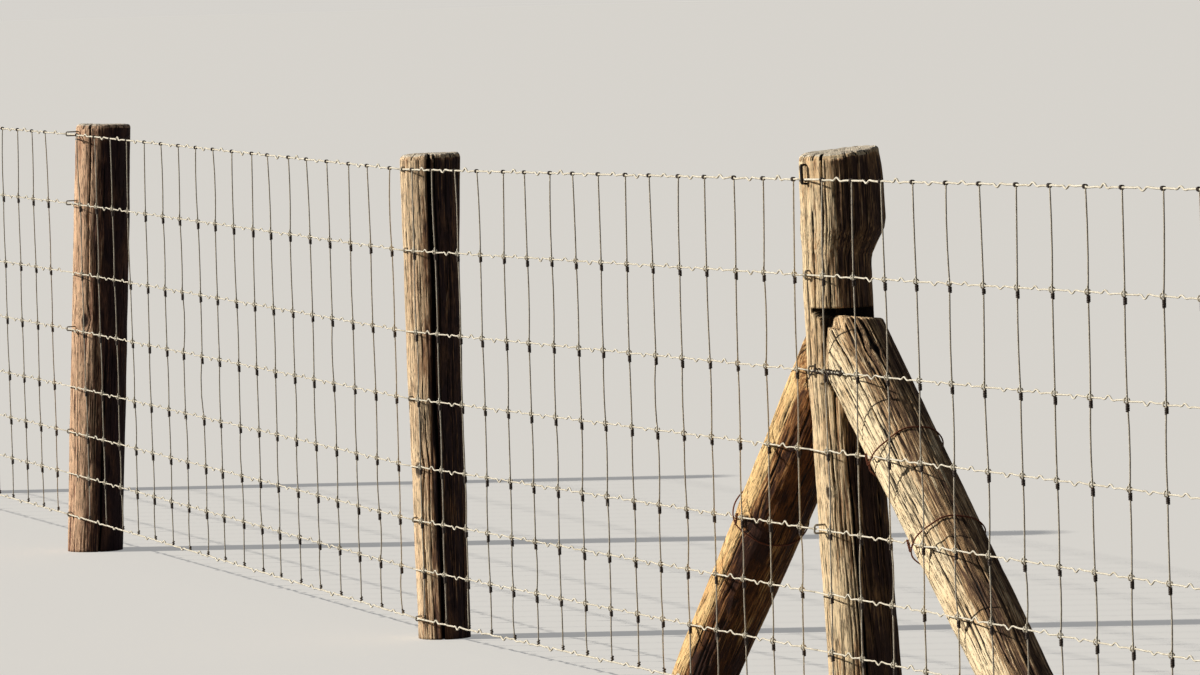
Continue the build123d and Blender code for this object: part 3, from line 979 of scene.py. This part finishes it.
def timber(name, pale, middle, dark, cracked, stain, worn_end=fresh_end, end_share=0.9):
    """Weathered timber: pale fibres, dark streaks and cracks, stains, worn end grain, and painted light and
    shade from the tone attribute.

    Its cut ends have that share of the colour of worn ends.
    """
    s = Shader(name)
    grain = s.attribute("grain", "Vector")
    crack, tone, sawn, knot = (s.attribute(mask) for mask in ("crack", "tone", "sawn", "knot"))

    def drawn_out(share, *noise):
        """Noise on the grain, with that share of its fineness along it."""
        return s.noise(s.stretched(grain, (1, 1, share)), *noise)

    fibres = drawn_out(0.05, 52.0, 5.0, 0.65)
    narrow = drawn_out(0.035, 30.0, 3.0, 0.55)
    flecks = drawn_out(0.14, 40.0, 3.0, 0.6)
    patches = drawn_out(0.35, 2.6)
    hair = drawn_out(0.03, 26.0, 3.0, 0.55)
    lines = s.maths("ABSOLUTE", s.maths("SUBTRACT", hair, 0.5))
    lines = s.spread(lines, 0.0, 0.028, 1.0, 0.0)
    broken = s.spread(drawn_out(0.2, 9.0, 2.0), 0.42, 0.56)
    lines = s.times(lines, broken)
    # tone carries painted light and shade besides random tone, so worn turns pale on the painted light and
    # dark on the painted shade.
    worn = s.maths("ADD", tone, s.spread(narrow, 0.3, 0.7, -0.75, 0.75))
    worn = s.maths("ADD", worn, s.spread(fibres, 0.3, 0.7, 0.6, -0.6))
    base = s.mix(s.spread(worn, -0.75, 0.0), dark, middle)
    base = s.mix(s.spread(worn, -0.05, 0.6), base, pale)
    base = s.mix(s.spread(patches, 0.48, 0.75, 0.0, 0.55), base, stain)
    base = s.mix(s.spread(flecks, 0.55, 0.64, 0.0, 0.75), base, dark)
    end_noise = s.noise(grain, 30.0, 5.0, 0.7)
    end_colour = s.mix(s.spread(end_noise, 0.56, 0.85, 0.0, 0.6), worn_end, middle)
    flat_grain = s.stretched(grain, (1, 1, 0))
    from_pith = s.add("VectorMath", "Value", {"operation": "LENGTH"}, i0=flat_grain)
    wobble = s.spread(s.noise(flat_grain, 4.0, 2.0), 0.0, 1.0, -4.0, 4.0)
    rings = s.maths("SINE", s.maths("ADD", s.times(from_pith, ring_count), wobble))
    end_colour = s.mix(s.spread(rings, 0.0, 1.0, 0.0, 0.6), end_colour, middle)
    base = s.mix(s.times(sawn, end_share), base, end_colour)
    base = s.mix(s.times(lines, 0.8), base, cracked)
    base = s.mix(s.spread(knot, 0.3, 1.0, 0.0, 0.7), base, dark)
    # crack darkens crack bottoms and knots, and paints shade on the notch faces.
    base = s.mix(s.spread(crack, 0.12, 0.7), base, cracked)
    relief = s.maths("SUBTRACT", s.times(fibres, -0.8), lines)
    end_relief = s.maths("ADD", s.times(end_noise, 0.9), s.times(rings, 0.3))
    relief = s.maths("SUBTRACT", relief, s.times(end_relief, sawn))
    bump = s.add("Bump", "Normal", Strength=1.0, Distance=0.0018, Height=relief)
    rough = s.spread(fibres, 0.3, 0.8, 0.78, 0.95)
    return s.finish(Base_Color=base, Roughness=rough, Normal=bump)


def metal(name, clean, dull, rust, rust_dark, metallic, roughness):
    """Drawn wire: dull zinc or steel with rust where the rust attribute is high."""
    s = Shader(name)
    place = s.add("TexCoord", "Object")
    amount = s.attribute("rust")
    cloudy = s.noise(place, 90.0)
    spots = s.noise(place, 320.0, 4.0, 0.7)
    base = s.mix(s.spread(cloudy, 0.35, 0.65), clean, dull)
    deep = s.maths("ADD", amount, s.spread(spots, 0.3, 0.7, -0.3, 0.3))
    rust_colour = s.mix(s.spread(deep, 0.5, 0.85), rust, rust_dark)
    spotty = s.times(s.maths("SUBTRACT", spots, 0.5), 0.7)
    edge = s.maths("ADD", s.times(amount, 1.1), spotty)
    base = s.mix(s.spread(edge, 0.3, 0.85), base, rust_colour)
    rough = s.spread(spots, 0.3, 0.7, roughness, roughness + 0.25)
    bump = s.add("Bump", "Normal", Strength=0.4, Distance=0.0003, Height=spots)
    return s.finish(Base_Color=base, Roughness=rough, Metallic=metallic, Normal=bump, Specular_IOR_Level=0.4)


# Pale, middle, dark, cracked, stain and, for the struts, worn end
grey = screen((248, 224, 184), (198, 156, 114), (82, 63, 57), (24, 17, 15), (218, 170, 118))
brown = screen((248, 220, 182), (170, 128, 94), (68, 53, 54), (20, 15, 15), (186, 138, 102))
peach = screen((240, 202, 168), (150, 108, 86), (62, 46, 48), (22, 16, 17), (168, 122, 96))
sandy = screen(
    (252, 232, 194), (210, 174, 130), (98, 75, 60), (26, 20, 19), (228, 188, 136), (206, 176, 138)
)
amber = screen(
    (244, 208, 150), (184, 132, 84), (62, 38, 30), (22, 14, 12), (198, 132, 76), (166, 122, 82)
)
timbers = {
    "strainer_post": timber("timber_grey", *grey),
    "second_post": timber("timber_second", *brown),
    "third_post": timber("timber_third", *peach),
    "left_end_post": timber("timber_left_end", *peach),
    "right_end_post": timber("timber_right_end", *grey),
    "right_strut": timber("timber_right_strut", *sandy, end_share=0.5),
    "left_strut": timber("timber_left_strut", *amber, end_share=0.4),
}
# Clean, dull, rust and dark rust
netting_metal = metal(
    "netting_zinc",
    *screen((232, 227, 212), (196, 187, 168), (124, 106, 84), (50, 38, 31)),
    metallic=0.05, roughness=0.5,
)
staple_metal = metal(
    "staple_steel",
    *screen((176, 168, 152), (138, 130, 116), (92, 70, 54), (34, 26, 22)),
    metallic=0.3, roughness=0.55,
)
tie_metal = metal(
    "tie_rusty",
    *screen((150, 100, 64), (120, 76, 50), (168, 100, 62), (112, 62, 40)),
    metallic=0.1, roughness=0.7,
)


def notch_limit(theta, z):
    """How far from its axis the strainer post reaches, where the notches are cut."""
    limit = np.full(np.broadcast(theta, z).shape, 1e4)
    front = clamp((radians(lip_end) - wrapped(theta, 2 * pi)) / radians(lip_fade))
    for strut in struts:
        seat = strut.head_height - (strut.head_radius + strut_fit) / cos(strut.slant)
        notch_x = strut.side * strut.notch_x - strut.side * strainer.lean * z / strainer.height
        lip = front * np.interp(notch_shoulder - z, lip_drops, lips) if strut.side > 0 else 0
        reach = notch_x + lip + np.clip(seat - z, 0, None) / tan(strut.slant)
        toward = strut.side * np.cos(theta)
        here = (toward > least_toward) & (z < notch_shoulder)
        limit = np.where(here, np.minimum(limit, reach / np.maximum(toward, least_toward)), limit)
    return limit


for post in posts:
    notches = {"limit": notch_limit, "keep": (notch_shoulder,)} if post is strainer else {}
    build_log(post, timbers[post.name], "post_timber", post_turning, **notches)
    staples(post, staple_metal)
for strut in struts:
    build_log(strut, timbers[strut.name], "strut_timber", strut_turning)
tie(right_strut, (4, 5), tie_metal)
tie(left_strut, (5,), tie_metal)
for number, (left, right) in enumerate(zip(posts, posts[1:]), 1):
    netting(number, left, right, netting_metal)

# Floor: pale, wide enough to reach the horizon
floor_half = 1500.0  # metres
floor_mesh = bpy.data.meshes.new("floor")
corners = [(x * floor_half, y * floor_half, 0) for x, y in ((-1, -1), (1, -1), (1, 1), (-1, 1))]
floor_mesh.from_pydata(corners, [], [(0, 1, 2, 3)])
floor = new_object("floor", floor_mesh)

# Pale to the camera with the fence's shadow on it, and a mid grey for the light that it sends back
s = Shader("floor_pale")
seen = s.maths("MAXIMUM", s.add("LightPath", "Is Camera Ray"), s.add("LightPath", "Is Glossy Ray"))
tint = s.mix(seen, (0.12, 0.11, 0.09, 1), (0.555, 0.546, 0.528, 1))
glow = s.times(seen, 0.27)
glow_colour = (0.98, 0.97, 0.95, 1)
floor_mesh.materials.append(
    s.finish(Base_Color=tint, Roughness=1.0, Emission_Color=glow_colour, Emission_Strength=glow)
)

# World: a soft fill, and pale to the camera
world = bpy.data.worlds.new("world")
scene.world = world
world.use_nodes = True
w = Nodes(world.node_tree)
fill = w.add("Background", Color=(0.84, 0.9, 1.0, 1), Strength=0.12)
pale = w.add("Background", Color=(0.672, 0.648, 0.608, 1), Strength=1.0)
w.end("World", w.add("MixShader", i0=w.add("LightPath", "Is Camera Ray"), i1=fill, i2=pale))


def direction(turn, rise):
    """The direction that is turned so far from the fence's, and so far above level."""
    return np.array((cos(rise) * cos(turn), cos(rise) * sin(turn), sin(rise)))


def put(item, axes, place=(0, 0, 0)):
    """Turns an object to three axes and moves it to its place."""
    columns = np.column_stack((*axes, np.multiply(place, to_metres)))
    item.matrix_world = Matrix([*columns.tolist(), (0, 0, 0, 1)])


# Key light: low, from the left and in front
key_turn = radians(-115)
key_height = radians(25)
towards_key = direction(key_turn, key_height)
side_of_key = unit(np.cross(upwards, towards_key))
sun = bpy.data.lights.new("key", "SUN")
sun.energy = 4.8
sun.angle = radians(1.0)
sun.color = (1.0, 0.94, 0.84)
put(new_object("key", sun), (side_of_key, np.cross(towards_key, side_of_key), towards_key))

# Camera: beside the fence, looking along it
camera_place = (11644.9, -4798.4, 1415.8)
camera_turn = radians(159.835)
camera_pitch = radians(2.920)
camera_roll = radians(1.626)
forward = direction(camera_turn, -camera_pitch)
level_right = unit(np.cross(forward, upwards))
level_up = np.cross(level_right, forward)
right_hand = cos(camera_roll) * level_right - sin(camera_roll) * level_up
up_hand = sin(camera_roll) * level_right + cos(camera_roll) * level_up
camera_data = bpy.data.cameras.new("camera")
camera_data.lens = 200
camera_data.sensor_width = 36
camera_data.clip_start = 0.1
camera_data.clip_end = 5000
camera = new_object("camera", camera_data)
put(camera, (right_hand, up_hand, -forward), camera_place)
scene.camera = camera

scene.view_settings.view_transform = "Standard"
